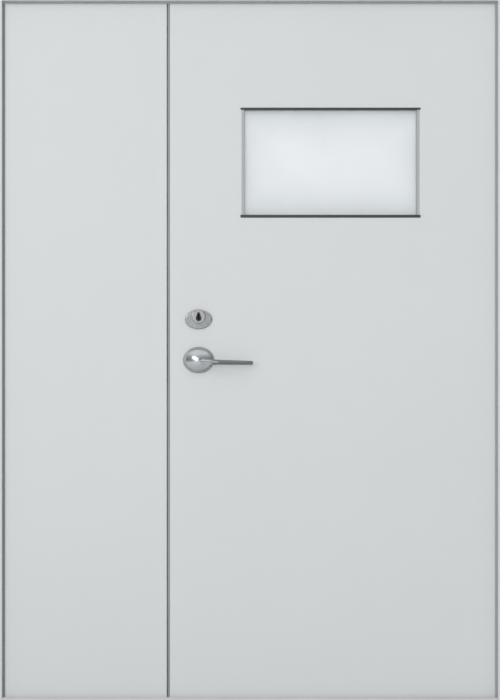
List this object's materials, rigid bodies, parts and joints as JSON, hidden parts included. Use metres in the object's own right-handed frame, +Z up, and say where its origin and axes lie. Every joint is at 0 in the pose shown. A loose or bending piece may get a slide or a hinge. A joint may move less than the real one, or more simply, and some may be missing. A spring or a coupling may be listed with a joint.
{
  "type": "unequal pair of flush steel doors in a frame",
  "caption": "Unequal pair of flush steel doors hung in a pressed-steel frame with a threshold: a narrow leaf, and a wide leaf with a vision panel, a lever and a key cylinder.",
  "frame": {"origin": "on the underside of the threshold, at the middle of the frame's width and depth", "axes": "+X to the right seen from the front, +Y from the front to the back, where the leaves open to, +Z up"},
  "size_m": [1.584, 0.14, 2.156],
  "materials": {
    "frame_paint": "satin powder coat",
    "threshold_metal": "brushed",
    "seal_rubber": "matt",
    "leaf_paint": "satin powder coat",
    "hinge_steel": "satin",
    "bead_dark": "satin",
    "bead_grey": "satin",
    "window_glass": "obscure",
    "lock_steel": "satin",
    "rose_metal": "polished",
    "lever_metal": "satin",
    "cylinder_metal": "satin"
  },
  "bodies": {
    "frame": {"left_jamb": "frame_paint", "right_jamb": "frame_paint", "frame_head": "frame_paint", "threshold": "threshold_metal", "left_seal": "seal_rubber", "right_seal": "seal_rubber", "head_seal": "seal_rubber", "left_lower_hinge_frame_half": "hinge_steel", "left_middle_hinge_frame_half": "hinge_steel", "left_upper_hinge_frame_half": "hinge_steel", "right_lower_hinge_frame_half": "hinge_steel", "right_middle_hinge_frame_half": "hinge_steel", "right_upper_hinge_frame_half": "hinge_steel"},
    "narrow_leaf": {"narrow_leaf_front_skin": "leaf_paint", "narrow_leaf_back_skin": "leaf_paint", "narrow_meeting_seal": "seal_rubber", "strike_plate": "lock_steel", "upper_flush_bolt": "lock_steel", "lower_flush_bolt": "lock_steel", "left_lower_hinge_leaf_half": "hinge_steel", "left_middle_hinge_leaf_half": "hinge_steel", "left_upper_hinge_leaf_half": "hinge_steel"},
    "active_leaf": {"active_leaf_front_skin": "leaf_paint", "active_leaf_back_skin": "leaf_paint", "meeting_seal": "seal_rubber", "window_top_bead": "bead_dark", "window_bottom_bead": "bead_dark", "window_left_bead": "bead_grey", "window_right_bead": "bead_grey", "window_back_bead": "bead_grey", "window_glass": "window_glass", "lock_forend": "lock_steel", "lock_case": "lock_steel", "latch_bolt": "lock_steel", "deadbolt": "lock_steel", "front_lever_rose": "rose_metal", "back_lever_rose": "rose_metal", "cylinder_rose": "rose_metal", "key_cylinder": "cylinder_metal", "turn_rose": "rose_metal", "thumb_turn": "lever_metal", "right_lower_hinge_leaf_half": "hinge_steel", "right_middle_hinge_leaf_half": "hinge_steel", "right_upper_hinge_leaf_half": "hinge_steel"},
    "lever_set": {"front_lever": "lever_metal", "back_lever": "lever_metal", "lever_spindle": "lock_steel"},
    "plug": {"key_plug": "cylinder_metal"}
  },
  "joints": [
    {"name": "active_leaf_swing", "type": "hinge", "parent": "frame", "child": "active_leaf", "pos_m": [0.759, 0.046, 1.1], "axis": [0, 0, -1], "range_deg": [0, 110]},
    {"name": "narrow_leaf_swing", "type": "hinge", "parent": "frame", "child": "narrow_leaf", "pos_m": [-0.759, 0.046, 1.1], "axis": [0, 0, 1], "range_deg": [0, 110]},
    {"name": "lever_turn", "type": "hinge", "parent": "active_leaf", "child": "lever_set", "pos_m": [-0.154, 0.0115, 1.031], "axis": [0, 1, 0], "range_deg": [0, 45], "stiffness_Nm_per_rad": 2, "springref_deg": -28.65},
    {"name": "key_plug_turn", "type": "hinge", "parent": "active_leaf", "child": "plug", "pos_m": [-0.154, -0.014, 1.161], "axis": [0, 1, 0], "range_deg": [0, 90]}
  ]
}
